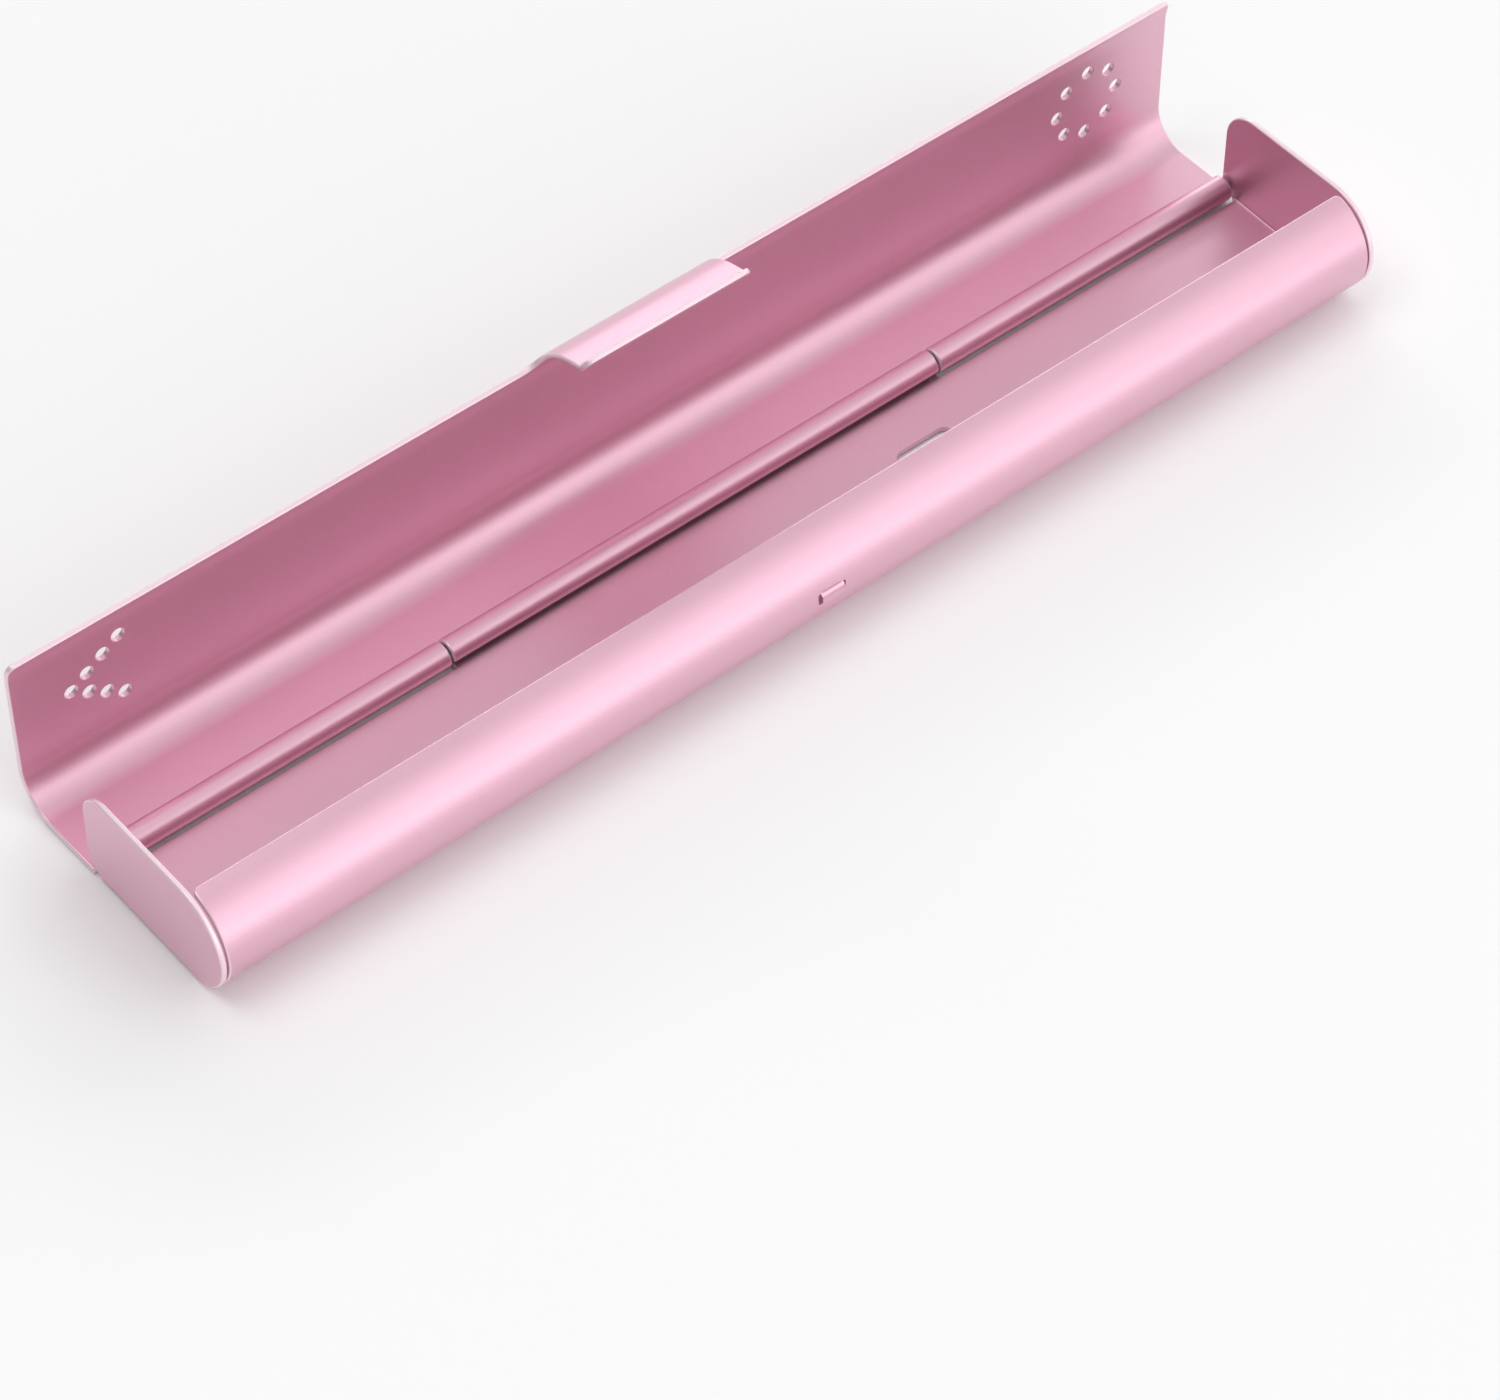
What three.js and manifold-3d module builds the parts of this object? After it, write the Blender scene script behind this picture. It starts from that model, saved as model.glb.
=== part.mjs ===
// A slim travel case for one toothbrush: two folded sheets of anodised aluminium, hinged on a wire pin.
// X runs along the case, +Y to the hinge and +Z up. The origin is the middle of the tray's underside.
// The lid is drawn shut over the tray, then turned about the pin to lie open, its rest position.
import * as THREE from 'three';
import { mergeVertices } from 'three/addons/utils/BufferGeometryUtils.js';
import Module from 'manifold-3d';

const wasm = await Module();
wasm.setup();

// Whole case, in millimetres
const SHEET = 0.9; // gauge of both sheets
const CASE_LENGTH = 210.6; // over the tray's end flaps
const CASE_HEIGHT = 18; // tray's underside to the tops of its flaps
const CASE_DEPTH = 31.7; // front roll to the flaps' back edges
const OPEN_ANGLE = 90; // degrees from the shut lid to the open one

// Clearances
const LID_CLEARANCE = 0.35; // shut lid to the flaps and to the top of the front roll
const LATCH_CLEARANCE = 0.25; // tab to the catch's top corner as it swings past
const RELIEF = 0.35; // ends of the front roll to the end flaps
const HINGE_SLIT = 0.4; // hinge rolls to the sheet edges that face them
const KNUCKLE_GAP = 0.4; // end to end between neighbouring hinge rolls, and to the flaps
const PIN_CLEARANCE = 0.3; // pin to the bore of the hinge rolls

// Hinge
const PIN_DIAMETER = 1.8;
const ROLL_SWEEP = 280; // degrees that the sheet turns round the pin
const TRAY_KNUCKLE = 90; // length of the tray's middle knuckle
const PIN_CHAMFER = 0.3;

// Tray
const FLAP_BEND = 0.35; // inside radius of the fold between floor and flap
const FLAP_CORNER = 5.5; // radius of each flap's top back corner
const FLAP_CHAMFER = 3; // corner cut off each flap at the hinge
const ROLL_EDGE_SETBACK = 1.4; // front roll's edge stops this far short of its highest line
const ROLL_EDGE_CORNER = 1; // rounding of that edge at both ends
const DRAIN_LENGTH = 10.4; // slot through the floor
const DRAIN_WIDTH = 3.2;
const DRAIN_X = 34.2;
const DRAIN_Y = 3.3;

// Catch pressed out of the front roll
const CATCH_LENGTH = 4.6;
const CATCH_WIDTH = 1.8;
const CATCH_RISE = 0.45;
const CATCH_ROUND = 0.35; // radius of its edges
const CATCH_LIFT = 0.4; // its middle above the roll's widest line

// Lid
const LID_OVERHANG = 0.1; // beyond each flap's outer face
const FRONT_WRAP = 24; // degrees that the lid's edge turns down over the front roll
const LID_CORNER = 1.5; // rounding of the front edge's ends
const TAB_WIDTH = 30;
const TAB_FILLET = 3.2; // inside corners where the tab leaves the front edge
const CREASE_DROP = 0.6; // from the middle of the catch down to where the tab bends out into its lip
const LIP_FLARE = 46; // degrees that the lip turns out
const LIP_BEND = 0.8; // inside radius of that bend
const LIP_LENGTH = 1.9; // flat part of the lip
const LIP_CORNER = 1.6;

// Vent holes through the lid
const VENT = 2.3; // diameter
const VENT_LINE = 0.6; // Y of the row that both figures are centred on, with the lid shut
const CHEVRON_TIP = 9.5; // from the lid's left end
const CHEVRON_PITCH = 3.38;
const CHEVRON_ARM = 3; // holes in each arm beyond the tip
const CHEVRON_HALF_ANGLE = 34.7; // degrees
const RING_CENTRE = 15.8; // from the lid's right end
const RING_RADIUS = 5.9;
const RING_HOLES = 8;

// Finish
const ANODISED_PINK = 0xe0a9c0;
const SATIN = 0.4; // roughness
const STEEL = 0xb9b6b6;
const DRAWN_WIRE = 0.3; // roughness

// Worked out from the sizes above
const radians = THREE.MathUtils.degToRad;
const degrees = THREE.MathUtils.radToDeg;
const halfLength = CASE_LENGTH / 2;
const flapInside = halfLength - SHEET;
const rollRadius = CASE_HEIGHT / 2;
const front = -CASE_DEPTH / 2;
const flapBack = CASE_DEPTH / 2;
const rollY = front + rollRadius;
const rollEndX = flapInside - RELIEF;
const rollEdgeY = rollY - ROLL_EDGE_SETBACK;

const boreRadius = PIN_DIAMETER / 2 + PIN_CLEARANCE;
const knuckleRadius = boreRadius + SHEET;
const lidBack = flapBack + LID_CLEARANCE + SHEET;
const hingeY = lidBack - knuckleRadius;
const hingeZ = knuckleRadius;
// From the hinge to an edge that faces a roll, along its sheet, which lies a bore radius off the axis
const edgeReach = Math.sqrt((knuckleRadius + HINGE_SLIT) ** 2 - boreRadius ** 2);
const floorBack = hingeY - edgeReach;
const wallFoot = hingeZ + edgeReach;
const trayKnuckleEnd = TRAY_KNUCKLE / 2;
const lidKnuckleStart = trayKnuckleEnd + KNUCKLE_GAP;
const lidKnuckleEnd = flapInside - KNUCKLE_GAP;

const lidEnd = halfLength + LID_OVERHANG;
const lidInside = CASE_HEIGHT + LID_CLEARANCE;
const lidBend = FLAP_CORNER + LID_CLEARANCE;

// The tab's inner face follows a circle round the hinge that just clears the top corner of the catch
const catchCrown = rollRadius + CATCH_RISE;
const catchTilt = Math.asin(CATCH_LIFT / rollRadius);
const catchCornerTurn = catchTilt + Math.atan2(CATCH_WIDTH / 2, catchCrown);
const catchCornerRadius = Math.hypot(catchCrown, CATCH_WIDTH / 2);
const catchCornerY = rollY - catchCornerRadius * Math.cos(catchCornerTurn);
const catchCornerZ = rollRadius + catchCornerRadius * Math.sin(catchCornerTurn);
const swingRadius = Math.hypot(hingeY - catchCornerY, catchCornerZ - hingeZ) + LATCH_CLEARANCE;

// The lid's front edge wraps the roll and runs on into that circle, tangent to it
const wrapRadius = rollRadius + LID_CLEARANCE;
const hingeToWrap = swingRadius - wrapRadius;
const swingAngle = degrees(Math.asin((rollRadius - hingeZ) / hingeToWrap));
const wrapY = hingeY - hingeToWrap * Math.cos(radians(swingAngle));
const creaseZ = rollRadius + CATCH_LIFT - CREASE_DROP;
const creaseAngle = degrees(Math.asin((creaseZ - hingeZ) / swingRadius));

// Drawing
const ARC_STEP = 9; // degrees
const FEWEST_ARC_STEPS = 3;
const CURVE_STEPS = 10; // along each drawn arc
const ROUND_SIDES = 20; // of the pin and the vent holes
const OVERLAP = 1; // how far joined solids share material and cutters reach past
const WELD = 1e-4;

// Axes of the case
const X = new THREE.Vector3(1, 0, 0);
const Y = new THREE.Vector3(0, 1, 0);
const Z = new THREE.Vector3(0, 0, 1);

// Outline of a sheet seen on edge: one face follows the steps, the other lies to the right of travel.
// A step is { run } for a straight length or { bend, turn }, with turn in degrees and positive to the left.
function foldedSheet(start, heading, steps) {
  const left = [];
  const right = [];
  let angle = radians(heading);
  let [u, v] = start;
  const mark = () => {
    left.push(new THREE.Vector2(u, v));
    right.push(new THREE.Vector2(u + SHEET * Math.sin(angle), v - SHEET * Math.cos(angle)));
  };
  mark();
  for (const step of steps) {
    if (step.run !== undefined) {
      u += step.run * Math.cos(angle);
      v += step.run * Math.sin(angle);
      mark();
      continue;
    }
    const side = Math.sign(step.turn);
    const count = Math.max(FEWEST_ARC_STEPS, Math.ceil(Math.abs(step.turn) / ARC_STEP));
    const centreU = u - side * step.bend * Math.sin(angle);
    const centreV = v + side * step.bend * Math.cos(angle);
    const first = angle;
    for (let i = 1; i <= count; i++) {
      angle = first + radians(step.turn) * i / count;
      u = centreU + side * step.bend * Math.sin(angle);
      v = centreV - side * step.bend * Math.cos(angle);
      mark();
    }
  }
  return new THREE.Shape([...left, ...right.reverse()]);
}

// A drawn outline pushed from one distance to another along the third axis of a frame
function pushed(shape, across, up, from, to, options = {}) {
  const settings = { depth: to - from, bevelEnabled: false, curveSegments: CURVE_STEPS, ...options };
  const geometry = new THREE.ExtrudeGeometry(shape, settings);
  const along = new THREE.Vector3().crossVectors(across, up);
  geometry.translate(0, 0, from);
  return geometry.applyMatrix4(new THREE.Matrix4().makeBasis(across, up, along));
}

const alongCase = (shape, from, to) => solid(pushed(shape, Y, Z, from, to));
const upright = (shape, from, to) => solid(pushed(shape, X, Y, from, to));

function solid(geometry) {
  geometry.deleteAttribute('normal');
  geometry.deleteAttribute('uv');
  const welded = mergeVertices(geometry, WELD);
  const vertProperties = Float32Array.from(welded.attributes.position.array);
  const triVerts = Uint32Array.from(welded.index.array);
  return new wasm.Manifold(new wasm.Mesh({ numProp: 3, vertProperties, triVerts }));
}

function block(x0, x1, y0, y1, z0, z1) {
  const geometry = new THREE.BoxGeometry(x1 - x0, y1 - y0, z1 - z0);
  geometry.translate((x0 + x1) / 2, (y0 + y1) / 2, (z0 + z1) / 2);
  return solid(geometry);
}

// A slot's outline with round ends, centred on (u, v) and lying along the drawing's first axis
function pill(u, v, length, width) {
  const r = width / 2;
  const half = length / 2 - r;
  const shape = new THREE.Shape();
  shape.moveTo(u - half, v - r);
  shape.lineTo(u + half, v - r);
  shape.absarc(u + half, v, r, -Math.PI / 2, Math.PI / 2);
  shape.lineTo(u - half, v + r);
  shape.absarc(u - half, v, r, Math.PI / 2, 1.5 * Math.PI);
  return shape;
}

// What is cut away to round a corner at (u, v), whose material lies towards (-sideU, -sideV)
function cornerWaste(u, v, sideU, sideV, r) {
  const shape = new THREE.Shape();
  const startAngle = Math.atan2(sideV, 0);
  const endAngle = Math.atan2(0, sideU);
  shape.moveTo(u + sideU * OVERLAP, v + sideV * OVERLAP);
  shape.lineTo(u - sideU * r, v + sideV * OVERLAP);
  const clockwise = sideU * sideV > 0;
  shape.absarc(u - sideU * r, v - sideV * r, r, startAngle, endAngle, clockwise);
  shape.lineTo(u + sideU * OVERLAP, v - sideV * r);
  return shape;
}

function mesh(name, body, colour, roughness) {
  const { vertProperties, triVerts } = body.getMesh();
  const geometry = new THREE.BufferGeometry();
  geometry.setAttribute('position', new THREE.BufferAttribute(vertProperties, 3));
  geometry.setIndex(new THREE.BufferAttribute(triVerts, 1));
  geometry.computeVertexNormals();
  const material = new THREE.MeshStandardMaterial({ color: colour, roughness, metalness: 1 });
  const part = new THREE.Mesh(geometry, material);
  part.name = name;
  return part;
}

// Tray: floor, two end flaps, front roll with its catch, and the middle knuckle, all of one sheet
function flapOutline() {
  const shape = new THREE.Shape();
  shape.moveTo(rollY, 0);
  shape.lineTo(flapBack - FLAP_CHAMFER, 0);
  shape.lineTo(flapBack, FLAP_CHAMFER);
  shape.lineTo(flapBack, CASE_HEIGHT - FLAP_CORNER);
  shape.absarc(flapBack - FLAP_CORNER, CASE_HEIGHT - FLAP_CORNER, FLAP_CORNER, 0, Math.PI / 2);
  shape.lineTo(rollY, CASE_HEIGHT);
  shape.absarc(rollY, rollRadius, rollRadius, Math.PI / 2, 1.5 * Math.PI);
  return shape;
}

function floorAndFlaps() {
  const rise = CASE_HEIGHT + OVERLAP - SHEET - FLAP_BEND;
  const fold = foldedSheet([-flapInside, CASE_HEIGHT + OVERLAP], 270, [
    { run: rise },
    { bend: FLAP_BEND, turn: 90 },
    { run: 2 * (flapInside - FLAP_BEND) },
    { bend: FLAP_BEND, turn: 90 },
    { run: rise },
  ]);
  const strip = solid(pushed(fold, X, Z, -flapBack - OVERLAP, -front + OVERLAP));
  const top = CASE_HEIGHT + OVERLAP;
  const ahead = block(-flapInside, flapInside, front - OVERLAP, rollY, -OVERLAP, top);
  const behind = block(-flapInside, flapInside, floorBack, flapBack + OVERLAP, -OVERLAP, top);
  const outline = alongCase(flapOutline(), -halfLength, halfLength);
  return strip.intersect(outline).subtract(ahead).subtract(behind);
}

function frontRoll() {
  const edgeAngle = degrees(Math.asin(ROLL_EDGE_SETBACK / rollRadius));
  const shape = foldedSheet([rollY + OVERLAP, 0], 180, [
    { run: OVERLAP },
    { bend: rollRadius, turn: edgeAngle - 180 },
  ]);
  let roll = alongCase(shape, -rollEndX, rollEndX);
  for (const side of [-1, 1]) {
    const waste = cornerWaste(side * rollEndX, rollEdgeY, side, 1, ROLL_EDGE_CORNER);
    roll = roll.subtract(upright(waste, rollRadius, CASE_HEIGHT + OVERLAP));
  }
  return roll;
}

function trayKnuckle() {
  const shape = foldedSheet([floorBack - OVERLAP, SHEET], 0, [
    { run: hingeY - floorBack + OVERLAP },
    { bend: boreRadius, turn: ROLL_SWEEP },
  ]);
  return alongCase(shape, -trayKnuckleEnd, trayKnuckleEnd);
}

// The catch is drawn on the roll's widest line and turned about the roll's axis to its height
function catchPill() {
  const shape = pill(0, 0, CATCH_LENGTH - 2 * CATCH_ROUND, CATCH_WIDTH - 2 * CATCH_ROUND);
  const rounding = {
    bevelEnabled: true,
    bevelThickness: CATCH_ROUND,
    bevelSize: CATCH_ROUND,
    bevelSegments: FEWEST_ARC_STEPS,
  };
  const foot = rollRadius - SHEET / 2 + CATCH_ROUND;
  const press = pushed(shape, X, Z, foot, catchCrown - CATCH_ROUND, rounding);
  press.rotateX(-catchTilt);
  press.translate(0, rollY, rollRadius);
  return solid(press);
}

function baseTray() {
  const drain = upright(pill(DRAIN_X, DRAIN_Y, DRAIN_LENGTH, DRAIN_WIDTH), -OVERLAP, SHEET + OVERLAP);
  return floorAndFlaps().add(frontRoll()).add(trayKnuckle()).add(catchPill()).subtract(drain);
}

// Lid, shut: back wall, top and front edge in one bent sheet
function lidShell() {
  const shape = foldedSheet([lidBack - SHEET, wallFoot], 90, [
    { run: lidInside - lidBend - wallFoot },
    { bend: lidBend, turn: 90 },
    { run: lidBack - SHEET - lidBend - wrapY },
    { bend: wrapRadius, turn: FRONT_WRAP },
  ]);
  return alongCase(shape, -lidEnd, lidEnd);
}

// End knuckles rolled from the foot of the back wall, and the plain wall that passes outside each flap
function lidKnuckles() {
  const drop = wallFoot + OVERLAP - hingeZ;
  const rolled = foldedSheet([lidBack, wallFoot + OVERLAP], 270, [
    { run: drop },
    { bend: knuckleRadius, turn: -ROLL_SWEEP },
  ]);
  const plain = foldedSheet([lidBack, wallFoot + OVERLAP], 270, [{ run: drop }]);
  const right = alongCase(rolled, lidKnuckleStart, lidKnuckleEnd);
  const left = alongCase(rolled, -lidKnuckleEnd, -lidKnuckleStart);
  const rightEnd = alongCase(plain, lidKnuckleEnd - OVERLAP, lidEnd);
  const leftEnd = alongCase(plain, -lidEnd, -lidKnuckleEnd + OVERLAP);
  return left.add(right).add(leftEnd).add(rightEnd);
}

// Direction in which a bent sheet runs where it heads at an angle
function travelAt(heading) {
  return new THREE.Vector3(0, Math.cos(radians(heading)), Math.sin(radians(heading)));
}

// Cutter for an outline drawn on the sheet at a point, with X across it and the sheet's travel up
function cutThrough(shape, point, travel, reach) {
  const depth = point.dot(new THREE.Vector3().crossVectors(X, travel));
  return solid(pushed(shape, X, travel, depth - reach, depth + reach));
}

// Tab: follows the front roll, swings about the hinge past the catch, and ends in the flared lip
function latchTab() {
  const reach = TAB_WIDTH / 2 + TAB_FILLET;
  const shape = foldedSheet([wrapY + OVERLAP, lidInside], 180, [
    { run: OVERLAP },
    { bend: wrapRadius, turn: 90 - swingAngle },
    { bend: swingRadius, turn: swingAngle - creaseAngle },
    { bend: LIP_BEND + SHEET, turn: -LIP_FLARE },
    { run: LIP_LENGTH },
  ]);
  let tab = alongCase(shape, -reach, reach);

  const rootTravel = travelAt(180 + FRONT_WRAP);
  const edge = new THREE.Vector3(0, wrapY, rollRadius);
  edge.y -= wrapRadius * Math.sin(radians(FRONT_WRAP));
  edge.z += wrapRadius * Math.cos(radians(FRONT_WRAP));
  const edgeAt = edge.dot(rootTravel);
  const pastLip = edgeAt + 2 * CASE_HEIGHT;

  const lipTravel = travelAt(270 - creaseAngle - LIP_FLARE);
  const foremost = shape.getPoints().reduce((a, b) => (b.x < a.x ? b : a));
  const tip = new THREE.Vector3(0, foremost.x, foremost.y);

  for (const side of [-1, 1]) {
    // Beside the tab nothing is left past the front edge but the fillet
    const outside = side * (reach + OVERLAP);
    const filletEnd = side > 0 ? Math.PI : 0;
    const beside = new THREE.Shape();
    beside.moveTo(outside, edgeAt);
    beside.lineTo(side * reach, edgeAt);
    beside.absarc(side * reach, edgeAt + TAB_FILLET, TAB_FILLET, -Math.PI / 2, filletEnd, side > 0);
    beside.lineTo(side * TAB_WIDTH / 2, pastLip);
    beside.lineTo(outside, pastLip);
    tab = tab.subtract(cutThrough(beside, edge, rootTravel, CASE_HEIGHT));
    const waste = cornerWaste(side * TAB_WIDTH / 2, tip.dot(lipTravel), side, 1, LIP_CORNER);
    tab = tab.subtract(cutThrough(waste, tip, lipTravel, 2 * SHEET));
  }
  return tab;
}

function ventCentres() {
  const centres = [];
  const tipX = -lidEnd + CHEVRON_TIP;
  for (let i = -CHEVRON_ARM; i <= CHEVRON_ARM; i++) {
    const stepX = CHEVRON_PITCH * Math.cos(radians(CHEVRON_HALF_ANGLE)) * Math.abs(i);
    const stepY = CHEVRON_PITCH * Math.sin(radians(CHEVRON_HALF_ANGLE)) * i;
    centres.push([tipX + stepX, VENT_LINE + stepY]);
  }
  for (let i = 0; i < RING_HOLES; i++) {
    const turn = 2 * Math.PI * i / RING_HOLES;
    const ringX = lidEnd - RING_CENTRE + RING_RADIUS * Math.cos(turn);
    centres.push([ringX, VENT_LINE + RING_RADIUS * Math.sin(turn)]);
  }
  return centres;
}

function lid() {
  let body = lidShell().add(lidKnuckles());
  for (const side of [-1, 1]) {
    const edgeY = wrapY - (wrapRadius + SHEET) * Math.sin(radians(FRONT_WRAP));
    const waste = cornerWaste(side * lidEnd, -edgeY, side, 1, LID_CORNER);
    const cut = pushed(waste, X, Y.clone().negate(), -2 * CASE_HEIGHT, -rollRadius);
    body = body.subtract(solid(cut));
  }
  body = body.add(latchTab());
  for (const [x, y] of ventCentres()) {
    const drill = new THREE.CylinderGeometry(VENT / 2, VENT / 2, SHEET + 2 * OVERLAP, ROUND_SIDES);
    drill.rotateX(Math.PI / 2);
    drill.translate(x, y, lidInside + SHEET / 2);
    body = body.subtract(solid(drill));
  }
  return body;
}

// Pin: one straight wire with broken edges, held endways between the flaps
function hingePin() {
  const r = PIN_DIAMETER / 2;
  const outline = [
    new THREE.Vector2(0, -lidKnuckleEnd),
    new THREE.Vector2(r - PIN_CHAMFER, -lidKnuckleEnd),
    new THREE.Vector2(r, -lidKnuckleEnd + PIN_CHAMFER),
    new THREE.Vector2(r, lidKnuckleEnd - PIN_CHAMFER),
    new THREE.Vector2(r - PIN_CHAMFER, lidKnuckleEnd),
    new THREE.Vector2(0, lidKnuckleEnd),
  ];
  const wire = new THREE.LatheGeometry(outline, ROUND_SIDES);
  wire.rotateZ(-Math.PI / 2);
  wire.translate(0, hingeY, hingeZ);
  return solid(wire);
}

const travelCase = new THREE.Group();
travelCase.add(mesh('base_tray', baseTray(), ANODISED_PINK, SATIN));
travelCase.add(mesh('hinge_pin', hingePin(), STEEL, DRAWN_WIRE));

const openLid = new THREE.Group();
openLid.position.set(0, hingeY, hingeZ);
openLid.rotation.x = -radians(OPEN_ANGLE);
const lidMesh = mesh('lid', lid(), ANODISED_PINK, SATIN);
lidMesh.position.set(0, -hingeY, -hingeZ);
openLid.add(lidMesh);
travelCase.add(openLid);

export default travelCase;
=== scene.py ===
import math

import bpy
import numpy as np
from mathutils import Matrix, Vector
from mathutils.geometry import delaunay_2d_cdt


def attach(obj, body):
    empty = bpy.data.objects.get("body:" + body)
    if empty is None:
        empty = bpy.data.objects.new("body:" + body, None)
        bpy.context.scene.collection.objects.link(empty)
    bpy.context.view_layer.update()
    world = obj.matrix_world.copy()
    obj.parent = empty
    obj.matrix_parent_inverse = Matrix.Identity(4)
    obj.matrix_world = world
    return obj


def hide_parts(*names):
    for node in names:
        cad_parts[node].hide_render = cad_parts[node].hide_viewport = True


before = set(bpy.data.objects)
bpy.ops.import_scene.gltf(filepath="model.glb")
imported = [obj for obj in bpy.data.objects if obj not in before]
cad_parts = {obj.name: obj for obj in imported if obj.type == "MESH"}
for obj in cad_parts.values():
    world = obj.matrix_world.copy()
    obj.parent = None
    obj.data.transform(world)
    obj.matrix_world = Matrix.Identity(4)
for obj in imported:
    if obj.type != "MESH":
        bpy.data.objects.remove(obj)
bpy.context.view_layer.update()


# Tray: one blank of aluminium sheet, punched, folded up at both ends and rolled half round along the front.
# A tongue at its back edge is rolled round the hinge pin, and a small catch is lanced out of the front.
# After forming it is bead blasted and anodised pink. All sizes are in millimetres.
MM = 0.001
GAUGE = 0.9
HALF = GAUGE / 2
EDGE_ROUND = 0.3
HOLE_ROUND = 0.06
EDGE_TURNS = (60, 30, 0)
JOIN_DIGITS = 4
MITRE_LIMIT = 0.5
PAST_BLANK = 110

TRAY_HEIGHT = 18.0
TRAY_FRONT = -15.85
HALF_LENGTH = 105.3
ROLL_RADIUS = TRAY_HEIGHT / 2
ROLL_Y = TRAY_FRONT + ROLL_RADIUS
ROLL_SWEEP = math.radians(171.05)
ROLL_EDGE_CORNER = 1.0
ROLL_BENDS = 75
FLOOR_BACK = 12.81
DRAIN = (34.2, 3.3, 10.4, 3.2)

FLAP_INSIDE = HALF_LENGTH - GAUGE
FLAP_BACK = 15.85
FLAP_BEND = 0.35
FLAP_BEND_STEPS = (0.62, 0.94)
FLAP_CORNER = 5.5
FLAP_CHAMFER_FOOT = 0.4
FLAP_CHAMFER_TOP = 3.0
FLAP_SETTLE = 2.2
FLAP_SETTLE_STEPS = (0.25, 0.5, 0.75, 1.0)
FLAP_SETTLE_WIDTH = 2
PAST_FLAP = 20
RELIEF = 0.3
ROLL_END = FLAP_INSIDE - FLAP_BEND

HINGE_Y = 15.0
HINGE_Z = 2.1
KNUCKLE_MIDDLE = 1.65
KNUCKLE_SWEEP = math.radians(280)
KNUCKLE_BENDS = 40
TRAY_KNUCKLE_END = 45.0

CATCH_TURN = math.radians(92.55)
CATCH_HALF_LENGTH = 2.05
CATCH_RISE = 0.5
CATCH_FOOT = 0.95
CATCH_FLANK = 0.5
CATCH_SLIT = 0.42
CATCH_SLIT_STEPS = (-0.8, -0.45, -0.15, 0.15, 0.45, 0.8)
CATCH_PATCH = (3.4, 1.4)
CATCH_INNER_PATCH = (1.6, 1.15)
CATCH_LONG_STEPS = (-0.95, -0.7, -0.45, -0.15, 0.15, 0.45, 0.7, 0.95)
CATCH_CROSS_STEPS = (-1.6, -0.8, 0, 0.8, 1.6)

roll_middle = ROLL_RADIUS - HALF
roll_edge = ROLL_Y - roll_middle * ROLL_SWEEP
catch_v = ROLL_Y - roll_middle * CATCH_TURN
knuckle_edge = HINGE_Y + KNUCKLE_MIDDLE * KNUCKLE_SWEEP
flap_bend_middle = FLAP_BEND + HALF
flap_bend_length = flap_bend_middle * math.pi / 2


def smooth(t):
    t = min(max(t, 0.0), 1.0)
    return t * t * (3 - 2 * t)


def arc(u, v, radius, start, end, count):
    turns = np.linspace(math.radians(start), math.radians(end), count + 1)
    return [(u + radius * math.cos(t), v + radius * math.sin(t)) for t in turns]


def mirrored(points):
    return [(-u, v) for u, v in reversed(points)]


def across(v, reach=PAST_BLANK):
    return ((-reach, v), (reach, v))


def inside(loop, points):
    """Which points lie inside a closed loop, by counting crossings to the right."""
    found = np.zeros(len(points), bool)
    for (u0, v0), (u1, v1) in zip(loop, loop[1:] + loop[:1]):
        if v0 == v1:
            continue
        passed = (v0 > points[:, 1]) != (v1 > points[:, 1])
        at = u0 + (points[:, 1] - v0) / (v1 - v0) * (u1 - u0)
        found ^= passed & (points[:, 0] < at)
    return found


def cut_blank(outline, holes, lines):
    """Triangles of a flat blank with edges along its bend lines, and the points on its holes."""
    corners, edges = [], []
    for loop in [outline, *holes]:
        first = len(corners)
        corners += [Vector(p) for p in loop]
        edges += [(first + i, first + (i + 1) % len(loop)) for i in range(len(loop))]
    on_holes = range(len(outline), len(corners))
    for line in lines:
        edges.append((len(corners), len(corners) + 1))
        corners += [Vector(p) for p in line]
    points, _, triangles, sources, *_ = delaunay_2d_cdt(corners, edges, [], 0, 1e-6)
    hole_points = [i for i, source in enumerate(sources) if any(s in on_holes for s in source)]
    points = np.array([tuple(p) for p in points])
    middles = np.array([points[list(t)].mean(0) for t in triangles])
    keep = inside(outline, middles)
    for hole in holes:
        keep &= ~inside(hole, middles)
    return points, [t for t, kept in zip(triangles, keep) if kept], hole_points


def normal_at(place, u, v):
    step = 1e-3
    along_u = place(u + step, v) - place(u - step, v)
    along_v = place(u, v + step) - place(u, v - step)
    normal = np.cross(along_u, along_v)
    return normal / np.linalg.norm(normal)


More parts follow.
